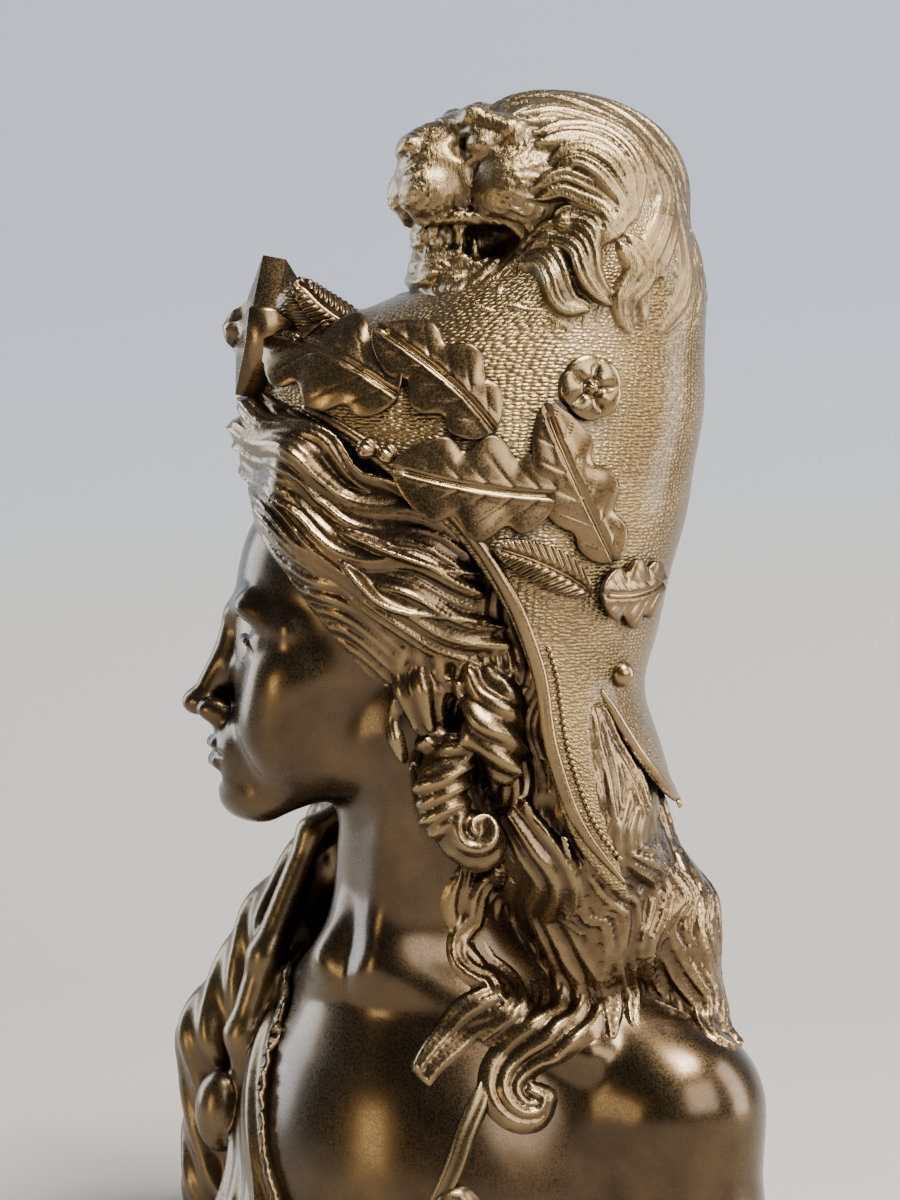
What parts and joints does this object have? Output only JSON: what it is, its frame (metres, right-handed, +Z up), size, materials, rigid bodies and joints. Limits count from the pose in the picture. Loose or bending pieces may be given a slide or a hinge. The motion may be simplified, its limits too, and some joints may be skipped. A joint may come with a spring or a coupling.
{
  "type": "bust",
  "caption": "Bronze portrait bust of a woman in a soft cap with a lion's head, oak wreath, star and long hair, cut flat below to stand on a shelf or a plinth",
  "frame": {"origin": "On the flat underside, under the neck", "axes": "+Z up; the shoulders face -Y, +X is the figure's left, and the head is turned 50 degrees to its right"},
  "size_m": [0.1307, 0.0829, 0.2208],
  "materials": {
    "bronze": "brown patina, rubbed golden on the crests"
  },
  "bodies": {
    "root": {"bust": "bronze"}
  },
  "joints": []
}
